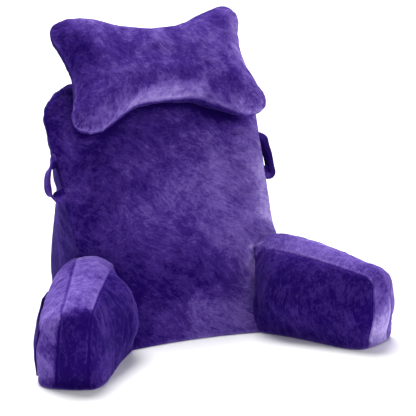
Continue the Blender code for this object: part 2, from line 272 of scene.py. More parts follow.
def front_y(u, c, z):
    """Front panel: leans back, drawn in at the floor, crowned above."""
    low = 1.0 - smooth(z / FOOT_DRAW_TOP)
    high = smooth(z / FRONT_PUFF_TOP) * fade(c, 8.0, 0.65)
    across = 1.0 - u * u
    return (SEAM_FOOT_Y + SEAM_LEAN * z + FOOT_DRAW * low * across ** 1.2
            - FRONT_PUFF * high * across ** 0.7)


def rear_inset(z):
    """How much narrower the rear panel is on each side."""
    return REAR_INSET * smooth((z - REAR_INSET_FROM) / REAR_INSET_RISE)


def rear_y(a, c, z):
    """Rear panel: near upright, with a shallow crown."""
    swell = REAR_PUFF * hump(a, 2.5, 0.8) * (0.4 + 0.6 * smooth(z / REAR_PUFF_TOP)) * fade(c, 5.0, 0.7)
    return REAR_FOOT_Y + (REAR_TOP_Y - REAR_FOOT_Y) * z / BACK_TOP + swell


def backrest_point(a, b, c):
    """Backrest skin: a runs across, b front to rear, c floor to top."""
    x, z = backrest_outline(a, c)
    u = 2.0 * a - 1.0
    x *= 1.0 - rear_inset(z) * smooth(b) / seam_half(z)
    near, far = front_y(u, c, z), rear_y(a, c, z)
    y = near + (far - near) * b
    if 0.0 < b < 1.0:
        swell = hump(b, 2.0, 0.75)
        if c == 0.0:
            side = seam_half(z) - rear_inset(z) * smooth(b) - abs(x)
            z = curl_height(min(side, y - near, far - y))
        elif c == 1.0:
            z += TOP_PUFF * swell * hump(a, 4.0, 0.5)
            if a in (0.0, 1.0):
                x += math.copysign(0.5 * SIDE_PUFF * swell, u)
        else:
            x += math.copysign(SIDE_PUFF * swell * (1.0 - 0.5 * c), u)
    return x, y, z


# ------------------------------------------------------------------ pattern of the arms
def arm_half(s):
    """Half width of the gusset strip along the arm."""
    return 0.5 * (STRIP_REAR + (STRIP_FRONT - STRIP_REAR) * smooth(s / STRIP_TAPER))


def arm_frame(s, w, z):
    """Arm coordinates, along, outward and up, to the world for the +X arm."""
    turn = math.radians(ARM_SPLAY)
    return (ARM_ROOT[0] + s * math.sin(turn) + w * math.cos(turn),
            ARM_ROOT[1] - s * math.cos(turn) + w * math.sin(turn), z)


def arm_outline(a, c):
    """Side view of the arm: position along and up, and the outward direction at its rim."""
    length, height = ARM_FRONT - ARM_BACK, ARM_TOP_FRONT - BASE_SEAM
    p, q = a * length, c * height
    mid_p, mid_q = length - ARM_CORNER, height - ARM_CORNER
    p, q = round_corner(p, q, mid_p, mid_q, ARM_CORNER)
    out = (1.0, 0.0) if a == 1.0 else (0.0, 1.0)
    if p > mid_p and q > mid_q:
        reach = math.hypot(p - mid_p, q - mid_q)
        out = ((p - mid_p) / reach, (q - mid_q) / reach)
    s = ARM_BACK + p
    top = ARM_TOP_FRONT + (ARM_TOP_REAR - ARM_TOP_FRONT) * (1.0 - run(s, ARM_TOP_FALL))
    top += ARM_TOP_ARCH * hump((s - ARM_ARCH_RUN[0]) / ARM_ARCH_RUN[1], 2.0, 1.0)
    z = BASE_SEAM + q * (top - BASE_SEAM) / height
    s += ARM_FRONT_SWELL * smooth(q / (0.5 * height)) * a ** 3
    return s, z, out


def side_swell(a, c, foot, full, flat, power, ahead):
    """Swell of a side panel: full at mid height, foot at the floor, none at the strip."""
    up = foot + (full - foot) * smooth(c / 0.45)
    return up * fade(c, flat, power) * fade(a, ahead * (1.0 - 0.44 * smooth(c / 0.4)), 0.62)


def inner_swell(a, c, s):
    """Seat side panel: fullest near the backrest."""
    full = INNER_PUFF + (INNER_PUFF_FRONT - INNER_PUFF) * run(s, INNER_PUFF_FALL)
    foot = INNER_FOOT_ROOT + (INNER_FOOT - INNER_FOOT_ROOT) * smooth(s / INNER_FOOT_FALL)
    return side_swell(a, c, foot, full * run(s, INNER_PUFF_START), 3.0, 0.75, 16.0)


def outer_swell(a, c):
    """Outer side panel."""
    return side_swell(a, c, OUTER_FOOT, OUTER_PUFF, 4.6, 0.62, 24.0) * fade(1.0 - a, 12.0, 0.6)


def arm_point(a, b, c):
    """Arm skin: a runs rear to front, b inner to outer, c floor to top."""
    s, z, out = arm_outline(a, c)
    half = arm_half(s)
    inner = half + inner_swell(a, c, s)
    outer = half + outer_swell(a, c)
    w = -inner + (inner + outer) * b
    w += STRIP_LEAN * (1.0 - z / ARM_TOP_REAR) * smooth(s / STRIP_LEVEL)
    swell = STRIP_PUFF * hump(b, 2.0, 1.0)
    if a == 1.0:
        swell *= 0.35 + 0.65 * smooth(c / 0.35)
    z += STRIP_TILT * (2.0 * b - 1.0) * c * (1.0 - 0.8 * smooth(s / STRIP_LEVEL))
    if a == 1.0 or c == 1.0:
        s += swell * out[0]
        z += swell * out[1]
    if c == 0.0:
        front = 0.35 * swell
        s += front * a ** 3 if a < 1.0 else 0.0
        z = curl_height(min((inner + outer) * min(b, 1.0 - b), (1.0 - a) * (ARM_FRONT - ARM_BACK)))
    return arm_frame(s, w, z)


# ------------------------------------------------------------------ pattern of the neck pillow
def neck_outline(u, v):
    """In-plane position of lattice parameters -1..1: across and up the leaning plane."""
    half = NECK_HALF_LOW + (NECK_HALF_TOP - NECK_HALF_LOW) * smooth(0.5 * v + 0.5)
    reach = NECK_REACH_TOP if v > 0.0 else NECK_REACH_LOW
    x, t = round_corner(abs(u) * half, abs(v) * reach,
                        half - NECK_CORNER, reach - NECK_CORNER, NECK_CORNER)
    p, q = x / half, t / reach
    x -= p ** 3 * NECK_WAIST * (1.0 - q * q) ** 1.5
    if v > 0.0:
        across = abs(math.copysign(p, u) - NECK_DIP_SHIFT)
        t -= q ** 1.2 * NECK_DIP * (1.0 - run(across, NECK_DIP_RUN))
    else:
        t -= q ** 1.2 * NECK_RISE * (1.0 - run(p, NECK_RISE_RUN))
    return math.copysign(x, u), math.copysign(t, v)


def neck_point(u, v, side):
    """Front panel (side -1) or rear panel (side 1) of the neck pillow."""
    x, t = neck_outline(u, v)
    roll, lean = math.radians(NECK_ROLL), math.radians(NECK_LEAN)
    x, t = x * math.cos(roll) - t * math.sin(roll), x * math.sin(roll) + t * math.cos(roll)
    swell = max(0.0, 1.0 - u ** 4) * max(0.0, 1.0 - v ** 4)
    puff = NECK_FRONT_PUFF * swell ** 0.55 if side < 0 else -NECK_REAR_PUFF * swell ** 0.65
    return (NECK_CENTRE[0] + x,
            NECK_CENTRE[1] + t * math.sin(lean) - puff * math.cos(lean),
            NECK_CENTRE[2] + t * math.cos(lean) + puff * math.sin(lean))


# ------------------------------------------------------------------ skins
def box_skin(rows_a, rows_b, rows_c, place):
    """Points, faces and panel names of an a x b x c lattice's skin."""
    na, nb, nc = len(rows_a) - 1, len(rows_b) - 1, len(rows_c) - 1
    index, points, faces, panels = {}, [], [], []

    def at(i, j, k):
        if (i, j, k) not in index:
            index[(i, j, k)] = len(points)
            points.append(place(float(rows_a[i]), float(rows_b[j]), float(rows_c[k])))
            panels.append("b0" if j == 0 else "b1" if j == nb else "floor" if k == 0
                          else "c1" if k == nc else "a0" if i == 0 else "a1")
        return index[(i, j, k)]

    for i in range(na):
        for k in range(nc):
            faces.append((at(i, 0, k), at(i + 1, 0, k), at(i + 1, 0, k + 1), at(i, 0, k + 1)))
            faces.append((at(i, nb, k), at(i, nb, k + 1), at(i + 1, nb, k + 1), at(i + 1, nb, k)))
        for j in range(nb):
            faces.append((at(i, j, 0), at(i, j + 1, 0), at(i + 1, j + 1, 0), at(i + 1, j, 0)))
            faces.append((at(i, j, nc), at(i + 1, j, nc), at(i + 1, j + 1, nc), at(i, j + 1, nc)))
    for j in range(nb):
        for k in range(nc):
            faces.append((at(0, j, k), at(0, j, k + 1), at(0, j + 1, k + 1), at(0, j + 1, k)))
            faces.append((at(na, j, k), at(na, j + 1, k), at(na, j + 1, k + 1), at(na, j, k + 1)))
    return np.array(points), np.array(faces), np.array(panels)


def pillow_skin(rows_u, rows_v, place):
    """Points, faces and panel names of two panels joined along one seam."""
    nu, nv = len(rows_u) - 1, len(rows_v) - 1
    index, points, faces, panels = {}, [], [], []

    def at(i, j, side):
        key = (i, j, 0 if i in (0, nu) or j in (0, nv) else side)
        if key not in index:
            index[key] = len(points)
            points.append(place(float(rows_u[i]), float(rows_v[j]), side))
            panels.append({-1: "front", 0: "front", 1: "rear"}[key[2]])
        return index[key]

    for i in range(nu):
        for j in range(nv):
            faces.append((at(i, j, -1), at(i + 1, j, -1), at(i + 1, j + 1, -1), at(i, j + 1, -1)))
            faces.append((at(i, j, 1), at(i, j + 1, 1), at(i + 1, j + 1, 1), at(i + 1, j, 1)))
    return np.array(points), np.array(faces), np.array(panels)


def skin_normals(points, faces):
    """Outward unit normal at each point of a closed skin of quads."""
    corner = points[faces]
    across = np.cross(corner[:, 2] - corner[:, 0], corner[:, 3] - corner[:, 1])
    normals = np.zeros_like(points)
    for k in range(4):
        np.add.at(normals, faces[:, k], across)
    return normals / (np.linalg.norm(normals, axis=1, keepdims=True) + 1e-12)


def relax(points, faces, weight, rounds):
    """Average each point with its neighbours, by weight."""
    ends = np.concatenate([faces[:, [k, (k + 1) % 4]] for k in range(4)])
    count = np.bincount(ends[:, 0], minlength=len(points))
    for _ in range(rounds):
        total = np.zeros_like(points)
        np.add.at(total, ends[:, 0], points[ends[:, 1]])
        points = points + weight[:, None] * 0.5 * (total / count[:, None] - points)
    return points


def relax_values(values, faces, weight, rounds):
    """Average a value per point with its neighbours, by weight."""
    return relax(np.repeat(values[:, None], 3, axis=1), faces, weight, rounds)[:, 0]


def point_tree(points):
    """A search tree of points."""
    tree = KDTree(len(points))
    for n, point in enumerate(points):
        tree.insert(point, n)
    tree.balance()
    return tree


def tree_of(points, faces):
    """A search tree of a skin."""
    return BVHTree.FromPolygons([tuple(p) for p in points], [tuple(int(k) for k in f) for f in faces])


def tree_of_item(item):
    """A search tree of an object's mesh."""
    mesh = item.data
    points = [v.co.copy() for v in mesh.vertices]
    return BVHTree.FromPolygons(points, [tuple(f.vertices) for f in mesh.polygons])


# ------------------------------------------------------------------ seams, puckers, lumps and folds
SEAM_STEP = 0.0015               # spacing of the points that stand for a seam
SEAM_FADE = 0.035                # length over which a seam sets in after its start
CORNER_ROUNDS = 14               # rounds of softening along the seams
SPOT_ROUNDS = 160                # rounds of softening at the soft spots
BROAD_ROUNDS = 90                # rounds that leave only the broad swelling of the simulated cover
LUMP_CLEAR = 0.035               # lumps of filling rise over this distance from a seam
PUCKER_CLEAR = 0.006             # puckers rise over this distance from the stitches
FLOOR_SKIN = 0.0005              # the cover's relief starts at this height above the floor
FLOOR_CLEAR = 0.012              # and is full this much higher
BASE_KEPT = 0.004                # below this height the cover keeps its pattern shape
STITCH_HOLD = 0.0025             # the simulation holds the cloth this close to a seam
JOINT_DEPTH = 0.0013             # how far a cover sinks where it meets another
JOINT_HALF = 0.008               # half width of that hollow
WAVE_CUT = 0.12                  # share of a half wave left off at each end of a fold
GATHER_PITCH = 0.75              # spacing of the gathers against that of the puckers
GATHER_SHARE = 0.40              # height of the gathers against that of the puckers
GATHER_DRIFT = {"reach": 2.6, "pitch": 1.8}
# finer lumps and puckers on the broad ones: their share and pitch against those
FINE_LUMPS = {"share": 0.35, "pitch": 0.36}
FINE_PUCKERS = {"share": 0.5, "pitch": 0.43}
CLOTH_FEEL = {"quality": 4, "mass": 0.3, "air_damping": 2.0, "bending_stiffness": 0.3}


def seam(path, **changes):
    """A sewn line: its path, and how it differs from a plain seam."""
    row = {"path": np.array(path), "depth": 1.0, "pucker": 1.0, "soft": 0.010, "line": 1.0, "start": -1.0,
           "gathers": ()}
    row.update(changes)
    return row


class SeamMap:
    """Finds the nearest sewn line to any point."""

    def __init__(self, seams):
        self.seams = seams
        self.place, self.owner = [], []
        for number, row in enumerate(seams):
            path = row["path"]
            step = np.linalg.norm(np.diff(path, axis=0), axis=1)
            length = np.concatenate([[0.0], np.cumsum(step)])
            for s in np.arange(0.0, length[-1], SEAM_STEP):
                self.place.append(([np.interp(s, length, path[:, k]) for k in range(3)], s))
                self.owner.append(number)
        self.tree = point_tree([point for point, _ in self.place])

    def near(self, points):
        """Distance to, length along and number of the nearest seam, for each point."""
        found = [self.tree.find(point) for point in points]
        which = np.array([f[1] for f in found])
        distance = np.array([f[2] for f in found])
        along = np.array([self.place[k][1] for k in which])
        owner = np.array([self.owner[k] for k in which])
        return distance, along, owner


def fold(start, end, half, height, nap_and_light=0.0):
    """A soft ridge (+) or trough (-) from start to end; its last value is how much lighter it is painted
    along its line: a painted highlight on a ridge, painted shade in a trough.
    """
    return {"start": np.array(start), "end": np.array(end), "half": half, "height": height, "nap_and_light": nap_and_light}


def fold_shape(points, row):
    """Height share of one fold, 1 along its crest, 0 away from it."""
    along = row["end"] - row["start"]
    t = np.clip((points - row["start"]) @ along / (along @ along), 0.0, 1.0)
    away = np.linalg.norm(points - row["start"] - t[:, None] * along, axis=1)
    return np.sin(np.pi * (WAVE_CUT + (1.0 - 2.0 * WAVE_CUT) * t)) * np.exp(-(away / row["half"]) ** 2)


def gathered(point, gathers):
    """Extra pucker strength near the named gather points."""
    total = 0.0
    for row in gathers:
        away = sum((point[k] - row["at"][k]) ** 2 for k in range(3))
        total += row["strength"] * math.exp(-away / row["radius"] ** 2)
    return total


def cloud(point, pitch, seed):
    """Smooth noise of a named pitch."""
    return noise.noise(Vector(point) / pitch + Vector((seed, 2.0 * seed, -seed)))


def pucker_wave(s, d, extra, pitch, seed, number):
    """Uneven puckers along a seam, and the row of gathers added where extra is over 0."""
    wave = cloud((s, 0.4 * d, 0.0), pitch, seed + number)
    wave += FINE_PUCKERS["share"] * cloud((s, 0.5 * d, 0.1), FINE_PUCKERS["pitch"] * pitch, seed)
    drift = GATHER_DRIFT["reach"] * cloud((s, 0.0, 0.0), GATHER_DRIFT["pitch"] * pitch, seed - 4.0)
    gather = math.cos(2.0 * math.pi * (s / (GATHER_PITCH * pitch) + drift))
    return wave + GATHER_SHARE * extra * gather, gather


def sew(points, faces, seams, folds, seed, sizes, soft_spots=()):
    """Round the corners, draw in the seams, gather the cloth and let the filling show.

    Also gives what the seam lines and the painted highlights on gathers follow: distance to the nearest seam,
    how plain that seam's line is, and the crests of its gathers."""
    distance, along, owner = SeamMap(seams).near(points)
    soft, start, depth, line = (np.array([row[key] for row in seams])[owner]
                                for key in ("soft", "start", "depth", "line"))
    begun = np.clip((along - start) / SEAM_FADE, 0.0, 1.0)
    points = points + wrinkles(points, faces, distance, sizes)
    points = relax(points, faces, np.exp(-(distance / soft) ** 2), CORNER_ROUNDS)
    for at, radius in soft_spots:
        points = relax(points, faces, near_spot(points, at, radius), SPOT_ROUNDS)
    normals = skin_normals(points, faces)
    height = -(depth * sizes.seam_depth * begun) * np.exp(-(distance / sizes.seam_half) ** 2)
    crest = np.zeros(len(points))
    for n, point in enumerate(points):
        row = seams[owner[n]]
        d, s = distance[n], along[n]
        lumps = cloud(point, sizes.lump_pitch, seed)
        lumps += FINE_LUMPS["share"] * cloud(point, FINE_LUMPS["pitch"] * sizes.lump_pitch, -seed)
        height[n] += sizes.lump * lumps * (1.0 - math.exp(-(d / LUMP_CLEAR) ** 2))
        extra = gathered(point, row["gathers"])
        reach = sizes.pucker_reach * (1.0 + 0.3 * min(extra, 1.0))
        if d < 5.0 * reach:
            rise = math.exp(-d / reach) * (1.0 - 0.85 * math.exp(-(d / PUCKER_CLEAR) ** 2))
            wave, gather = pucker_wave(s, d, extra, sizes.pucker_pitch, seed, owner[n])
            crest[n] = extra * gather * rise
            height[n] += sizes.pucker * row["pucker"] * (1.0 + 0.3 * extra) * wave * rise
    for row in folds:
        height += row["height"] * fold_shape(points, row)
    floor = np.clip((points[:, 2] - FLOOR_SKIN) / FLOOR_CLEAR, 0.0, 1.0)
    points = points + normals * (height * floor)[:, None]
    points[:, 2] = np.maximum(points[:, 2], 0.0)
    return points, {"distance": distance, "line": line * begun, "crest": crest}


def near_spot(points, at, radius):
    """1 at a spot, falling to 0 round it."""
    away = np.linalg.norm(points - np.array(at), axis=1)
    return np.exp(-(away / radius) ** 4)


def wrinkles(points, faces, distance, sizes):
    """Simulate the filled cover as cloth, sewn down at its seams, and keep only its wrinkles."""
    item = new_object("filling_trial", points, faces)
    pinned = item.vertex_groups.new(name="pinned")
    hold = np.clip(1.4 - distance / STITCH_HOLD, 0.0, 1.0)
    hold[points[:, 2] < BASE_SEAM + 0.001] = 1.0
    for n in np.nonzero(hold)[0]:
        pinned.add([int(n)], float(hold[n]), "REPLACE")
    cloth = item.modifiers.new("cloth", "CLOTH")
    for label, value in CLOTH_FEEL.items():
        setattr(cloth.settings, label, value)
    cloth.settings.use_pressure = True
    cloth.settings.uniform_pressure_force = sizes.pressure
    cloth.settings.shrink_min = -sizes.fullness
    cloth.settings.shrink_max = -sizes.fullness
    cloth.settings.vertex_group_mass = "pinned"
    cloth.settings.effector_weights.gravity = 0.0
    cloth.collision_settings.use_collision = False
    scene = bpy.context.scene
    for frame_number in range(1, sizes.frames + 1):
        scene.frame_set(frame_number)
    settled = item.evaluated_get(bpy.context.evaluated_depsgraph_get()).to_mesh()
    moved = np.zeros(3 * len(points))
    settled.vertices.foreach_get("co", moved)
    scene.frame_set(1)
    bpy.data.objects.remove(item)
    normals = skin_normals(points, faces)
    rise = np.einsum("ij,ij->i", moved.reshape(-1, 3) - points, normals)
    broad = relax_values(rise, faces, np.ones(len(points)), BROAD_ROUNDS)
    fine = np.clip(rise - broad, -sizes.wrinkle, sizes.wrinkle)
    fine[points[:, 2] < BASE_KEPT] = 0.0
    return normals * fine[:, None]


def draw_in(points, faces, others):
    """Sink a skin a little where it meets its neighbours."""
    normals = skin_normals(points, faces)
    near = np.full(len(points), 1.0)
    for other in others:
        for n, point in enumerate(points):
            hit = other.find_nearest(point, 6.0 * JOINT_HALF)
            if hit[0] is not None:
                near[n] = min(near[n], hit[3])
    above = np.clip((points[:, 2] - BASE_KEPT) / FLOOR_CLEAR, 0.0, 1.0)
    return points - normals * (JOINT_DEPTH * above * np.exp(-(near / JOINT_HALF) ** 2))[:, None]


# ------------------------------------------------------------------ nap, with painted light and shade
TORN = 0.013                     # how far noise tears the edge of a stroke
TORN_PITCH = (0.022, 0.009)      # its broad and fine pitch
# the pale line beside a seam, the dark line in it, the pale rim round a bottom panel, and the painted shade
# where another piece rests on this one or hangs close over it: how much it changes the lightness, where, and
# its half width
PALE_EDGE = {"nap_and_light": 0.07, "from_seam": 0.0042, "half": 0.0018}
DARK_SEAM = {"nap_and_light": 0.16, "half": 0.0016}
BASE_EDGE = {"nap_and_light": 0.28, "half": 0.0055}
UNDER_SHADE = {"nap_and_light": 0.30, "half": 0.016, "reach": 0.05}
CREST_HIGHLIGHT = 0.09                 # how much lighter the crest of a gather is painted: a painted highlight


def stroke(at, size, nap_and_light, panels=None):
    """A patch of lighter or darker plush, brushed nap in some places and painted light and shade in others:
    its middle, reach along x, y and z, how much lighter it makes the plush, and the panels it is on."""
    return {"at": np.array(at), "size": np.array(size), "nap_and_light": nap_and_light, "panels": panels}


def nap_with_painted_light(points, faces, panels, base, strokes, folds, marks, seed, soft_spots=()):
    """How light the plush is, 0 to 1, from its brushed nap and from painted light and shade: by panel, by
    stroke, on folds and beside seams.
    """
    nap_and_light = np.array([base[panel] for panel in panels])
    for at, radius in soft_spots:
        nap_and_light = relax_values(nap_and_light, faces, near_spot(points, at, radius), SPOT_ROUNDS)
    distance, line = marks["distance"], marks["line"]
    broad, fine = TORN_PITCH
    ragged = np.array([[cloud(point, broad, seed + 7.0 * k) + 0.5 * cloud(point, fine, seed - 5.0 * k)
                        for k in range(3)] for point in points])
    torn = points + TORN * ragged
    for row in strokes:
        away = (((torn - row["at"]) / row["size"]) ** 2).sum(axis=1)
        on = np.isin(panels, row["panels"]) if row["panels"] else 1.0
        nap_and_light += on * row["nap_and_light"] * np.exp(-away ** 2)
    for row in folds:
        nap_and_light += row["nap_and_light"] * fold_shape(points, row)
    nap_and_light += line * PALE_EDGE["nap_and_light"] * np.exp(-((distance - PALE_EDGE["from_seam"]) / PALE_EDGE["half"]) ** 2)
    nap_and_light -= line * DARK_SEAM["nap_and_light"] * np.exp(-(distance / DARK_SEAM["half"]) ** 2)
    nap_and_light += BASE_EDGE["nap_and_light"] * np.exp(-(points[:, 2] / BASE_EDGE["half"]) ** 2)
    return nap_and_light + CREST_HIGHLIGHT * marks["crest"]


# ------------------------------------------------------------------ objects
def new_object(name, points, faces):
    """A smooth-shaded mesh object."""
    mesh = bpy.data.meshes.new(name)
    mesh.from_pydata([tuple(p) for p in points], [], [tuple(int(k) for k in f) for f in faces])
    mesh.validate()
    work = bmesh.new()
    work.from_mesh(mesh)
    bmesh.ops.recalc_face_normals(work, faces=work.faces)
    work.to_mesh(mesh)
    work.free()
    mesh.shade_smooth()
    item = bpy.data.objects.new(name, mesh)
    bpy.context.scene.collection.objects.link(item)
    return item


def mark(item, source, values):
    """Store how light the plush is, from its nap and from painted light and shade, read from the nearest of
    the source points.
    """
    tree = point_tree(source)
    attribute = item.data.attributes.new("nap_and_light", "FLOAT", "POINT")
    found = [values[tree.find(v.co)[1]] for v in item.data.vertices]
    attribute.data.foreach_set("value", np.array(found, dtype=np.float32))


ROOM_UNDER_FLOOR = -0.01


def backrest_room():
    """A copy of the sewn backrest, a hair larger and reaching below the floor, to cut its neighbours with."""
    scene = bpy.context.scene
    cover = scene.objects["backrest_cover"]
    room = cover.copy()
    room.data = cover.data.copy()
    room.data.attributes.remove(room.data.attributes["nap_and_light"])
    scene.collection.objects.link(room)
    for vert, normal in zip(room.data.vertices, [v.normal.copy() for v in room.data.vertices]):
        vert.co += normal * GAP
        if vert.co.z < 0.02 * BASE_SEAM:
            vert.co.z = ROOM_UNDER_FLOOR
    return room


def cut_away(item):
    """Take the backrest's room out of the item and keep the result as its mesh."""
    room = backrest_room()
    modifier = item.modifiers.new("room", "BOOLEAN")
    modifier.operation = "DIFFERENCE"
    modifier.solver = "MANIFOLD"
    modifier.object = room
    shaped = item.evaluated_get(bpy.context.evaluated_depsgraph_get())
    mesh = bpy.data.meshes.new_from_object(shaped)
    item.modifiers.clear()
    old = item.data
    item.data = mesh
    bpy.data.meshes.remove(old)
    bpy.data.objects.remove(room)
    mesh.shade_smooth()


def paint_shade_under(item, resting):
    """Darken this piece with painted shade where another piece rests on it or hangs close over it."""
    attribute = item.data.attributes["nap_and_light"]
    for vert, entry in zip(item.data.vertices, attribute.data):
        hit = resting.find_nearest(vert.co, UNDER_SHADE["reach"])
        if hit[0] is not None:
            entry.value -= UNDER_SHADE["nap_and_light"] * math.exp(-(hit[3] / UNDER_SHADE["half"]) ** 2)


def finish_piece(item, node, material):
    """Put the finish on a piece, hang it from the root and hide the solid it stands for."""
    item.data.materials.clear()
    item.data.materials.append(material)
    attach(item, "root")
    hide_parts(node)


# ------------------------------------------------------------------ materials
def node_group(name, inputs, outputs):
    """An empty shader group with named sockets."""
    group = bpy.data.node_groups.new(name, "ShaderNodeTree")
    for label, kind, value in inputs:
        socket = group.interface.new_socket(label, in_out="INPUT", socket_type=kind)
        if value is not None:
            socket.default_value = value
    for label, kind in outputs:
        group.interface.new_socket(label, in_out="OUTPUT", socket_type=kind)
    return group, group.nodes.new("NodeGroupInput"), group.nodes.new("NodeGroupOutput")


def add_node(tree, kind, inputs, **settings):
    """A shader node with its settings made, then each input linked to a socket or set to a value."""
    node = tree.nodes.new("ShaderNode" + kind)
    for label, value in settings.items():
        setattr(node, label, value)
    for label, value in inputs.items():
        if hasattr(value, "is_output"):
            tree.links.new(value, node.inputs[label])
        else:
            node.inputs[label].default_value = value
    return node


def maths(tree, operation, *terms):
    """The result of a Math node on sockets or numbers."""
    return add_node(tree, "Math", dict(enumerate(terms)), operation=operation).outputs[0]


# grain of the nap: scale, detail, roughness, distortion, and the two levels it is stretched between
NAP_NOISE = {
    "broad": (12.0, 4.0, 0.6, 0.4, 0.30, 0.70),
    "patch": (40.0, 8.0, 0.75, 0.5, 0.32, 0.68),
    "streak": (300.0, 3.0, 0.7, 0.2, 0.30, 0.70),
    "wisp": (90.0, 8.0, 0.75, 0.4, 0.38, 0.62),
    "tips": (520.0, 4.0, 0.7, 0.0, 0.30, 0.70),
}
NAP_COLOURS = ("Deep", "Dark", "Middle", "Light", "Pale")
DRIFT_SCALE = 7.0                # slow bending of the grain
DRIFT_REACH = 0.09               # how far it bends
STREAK_SQUEEZE = 0.28            # how short a streak is across, against its length
PATCH_SHARE = 0.8                # small patches against broad ones
WISP_SHARE = 1.1                 # wisps against fine streaks
TIPS_LAY = 0.09                  # how far single pile tips lighten or darken the nap
PILE_STREAKS = 0.6               # streaks against pile tips in the relief


def brushed_nap_and_sheen():
    """Brushed plush: patches, streaks and pile tips round the given lightness of nap and painted light, with
    a painted sheen added toward the outline.
    """
    group, source, sink = node_group(
        "brushed_nap_and_sheen",
        (("Nap And Light", "NodeSocketFloat", 0.3), ("Patches", "NodeSocketFloat", 0.3),
         ("Streaks", "NodeSocketFloat", 0.2), ("Streak Turn", "NodeSocketVector", (0.0, 0.0, 0.0)),
         ("Rim", "NodeSocketFloat", 0.0), *((label, "NodeSocketColor", None) for label in NAP_COLOURS)),
        (("Color", "NodeSocketColor"), ("Height", "NodeSocketFloat")))
    given = source.outputs
    place = group.nodes.new("ShaderNodeTexCoord").outputs["Object"]

    def texture(vector, name):
        *grain, low, high = NAP_NOISE[name]
        grain = dict(zip(("Scale", "Detail", "Roughness", "Distortion"), grain))
        speckle = add_node(group, "TexNoise", {"Vector": vector, **grain}).outputs["Fac"]
        span = {"Value": speckle, "From Min": low, "From Max": high, "To Min": -0.5, "To Max": 0.5}
        return add_node(group, "MapRange", span, interpolation_type="SMOOTHSTEP").outputs["Result"]

    drift = add_node(group, "TexNoise", {"Vector": place, "Scale": DRIFT_SCALE, "Detail": 1.0})
    bend = add_node(group, "VectorMath", {0: drift.outputs["Color"], 1: (DRIFT_REACH,) * 3, 2: place},
                    operation="MULTIPLY_ADD")
    turn = add_node(group, "VectorRotate", {"Vector": bend.outputs[0], "Rotation": given["Streak Turn"]},
                    rotation_type="EULER_XYZ")
    squeeze = add_node(group, "VectorMath", {0: turn.outputs[0], 1: (1.0, 1.0, STREAK_SQUEEZE)},
                       operation="MULTIPLY")
    broad, patch, tips = (texture(place, name) for name in ("broad", "patch", "tips"))
    streak, wisp = (texture(squeeze.outputs[0], name) for name in ("streak", "wisp"))

    mottled = maths(group, "MULTIPLY_ADD", patch, PATCH_SHARE, broad)
    brushed = maths(group, "MULTIPLY_ADD", wisp, WISP_SHARE, streak)
    nap_and_light = maths(group, "MULTIPLY_ADD", mottled, given["Patches"], given["Nap And Light"])
    nap_and_light = maths(group, "MULTIPLY_ADD", brushed, given["Streaks"], nap_and_light)
    nap_and_light = maths(group, "MULTIPLY_ADD", tips, TIPS_LAY, nap_and_light)
    # painted sheen: the plush is made lighter toward the outline
    nap_and_light = maths(group, "ADD", nap_and_light, given["Rim"])

    colour = given[NAP_COLOURS[0]]
    step = 1.0 / (len(NAP_COLOURS) - 1)
    for n, label in enumerate(NAP_COLOURS[1:]):
        share = add_node(group, "MapRange", {"Value": nap_and_light, "From Min": n * step, "From Max": (n + 1) * step})
        mix = add_node(group, "Mix", {"Factor": share.outputs["Result"], "A": colour, "B": given[label]},
                       data_type="RGBA")
        colour = mix.outputs["Result"]
    group.links.new(colour, sink.inputs["Color"])
    height = maths(group, "MULTIPLY_ADD", brushed, PILE_STREAKS, tips)
    group.links.new(height, sink.inputs["Height"])
    return group


PLUSH_SURFACE = {
    "Roughness": 0.95, "Specular IOR Level": 0.05, "Sheen Weight": 0.08, "Sheen Roughness": 0.4,
    "Sheen Tint": (0.45, 0.30, 1.0, 1.0),
}
RIM_BLEND = 0.28                 # how near the outline the colour is lightened: a painted sheen of the nap seen from its side
RIM_POWER = 3.0                  # how sharply that rim fades
PILE_STRENGTH = 0.25             # strength of the pile's relief
PILE_DEPTH = 0.0010              # depth of the pile's relief


def plush(name, group, colours, patches, streaks, turn, rim):
    """One plush finish with its own strength and direction of brushing."""
    material = bpy.data.materials.new(name)
    material.use_nodes = True
    tree = material.node_tree
    shader = tree.nodes["Principled BSDF"]
    for label, value in PLUSH_SURFACE.items():
        shader.inputs[label].default_value = value
    reader = add_node(tree, "Attribute", {}, attribute_name="nap_and_light")
    # painted sheen: the colour is lightened toward the outline by the rim share
    grazing = add_node(tree, "LayerWeight", {"Blend": RIM_BLEND})
    edge = maths(tree, "POWER", grazing.outputs["Facing"], RIM_POWER)
    inputs = {"Nap And Light": reader.outputs["Fac"], "Rim": maths(tree, "MULTIPLY", edge, rim), "Patches": patches,
              "Streaks": streaks, "Streak Turn": [math.radians(angle) for angle in turn]}
    inputs.update((label, getattr(colours, label.lower())) for label in NAP_COLOURS)
    nap = add_node(tree, "Group", inputs, node_tree=group)
    bump = add_node(tree, "Bump", {"Strength": PILE_STRENGTH, "Distance": PILE_DEPTH,
                                   "Height": nap.outputs["Height"]})
    tree.links.new(bump.outputs["Normal"], shader.inputs["Normal"])
    tree.links.new(nap.outputs["Color"], shader.inputs["Base Color"])
    return material


# patches, streaks and rim are shares of the plush's lightness, rim being a painted sheen toward the outline;
# turn is the brushing direction in degrees
PLUSH_FINISHES = {
    "backrest": {"patches": 0.16, "streaks": 0.12, "turn": (0.0, 50.0, 0.0), "rim": 0.30},
    "arms": {"patches": 0.14, "streaks": 0.13, "turn": (0.0, 14.0, 0.0), "rim": 0.30},
    "neck": {"patches": 0.18, "streaks": 0.11, "turn": (0.0, 30.0, 0.0), "rim": 0.25},
    "pocket": {"patches": 0.08, "streaks": 0.08, "turn": (0.0, 0.0, 0.0), "rim": 0.0},
    "strap": {"patches": 0.08, "streaks": 0.10, "turn": (0.0, 0.0, 0.0), "rim": 0.60},
}


